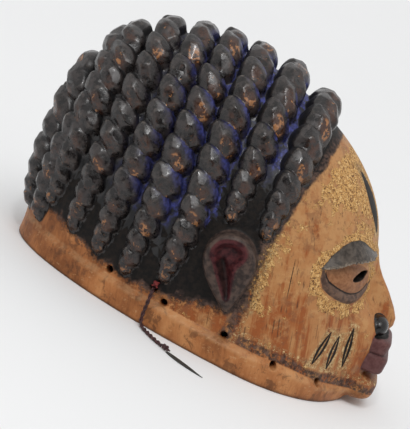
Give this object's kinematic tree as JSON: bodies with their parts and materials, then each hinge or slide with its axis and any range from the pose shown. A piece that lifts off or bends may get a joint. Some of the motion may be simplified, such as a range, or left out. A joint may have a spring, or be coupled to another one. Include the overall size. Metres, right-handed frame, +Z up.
{
  "type": "gelede mask",
  "caption": "Carved wooden helmet mask: hollow head open below, calm stylised face, large ears, thick twisted locks across the head, and a knotted leather thong with a blade tip on each side.",
  "frame": {"origin": "middle of the mask's length and width, on the plane of its flat rim, without the thongs", "axes": "+X the way the face looks, +Z up from the rim to the crown, Y = 0 the middle plane, with the mask's right side at -Y"},
  "size_m": [0.3736, 0.3228, 0.2532],
  "materials": {
    "carved_wood": "worn ochre paint on the face, near-black satin hair with blue in the grooves, maroon lips and ears, bare waxed wood on the rim",
    "tie_cord": "dull dark red cord",
    "thong_leather": "old dark maroon leather",
    "blade_leather": "stiff dark grey leather"
  },
  "bodies": {
    "root": {"mask": "carved_wood", "near_tie": "tie_cord", "near_thong": "thong_leather", "near_knot": "thong_leather", "near_leather_tip": "blade_leather", "far_tie": "tie_cord", "far_thong": "thong_leather", "far_knot": "thong_leather", "far_leather_tip": "blade_leather"}
  },
  "joints": []
}
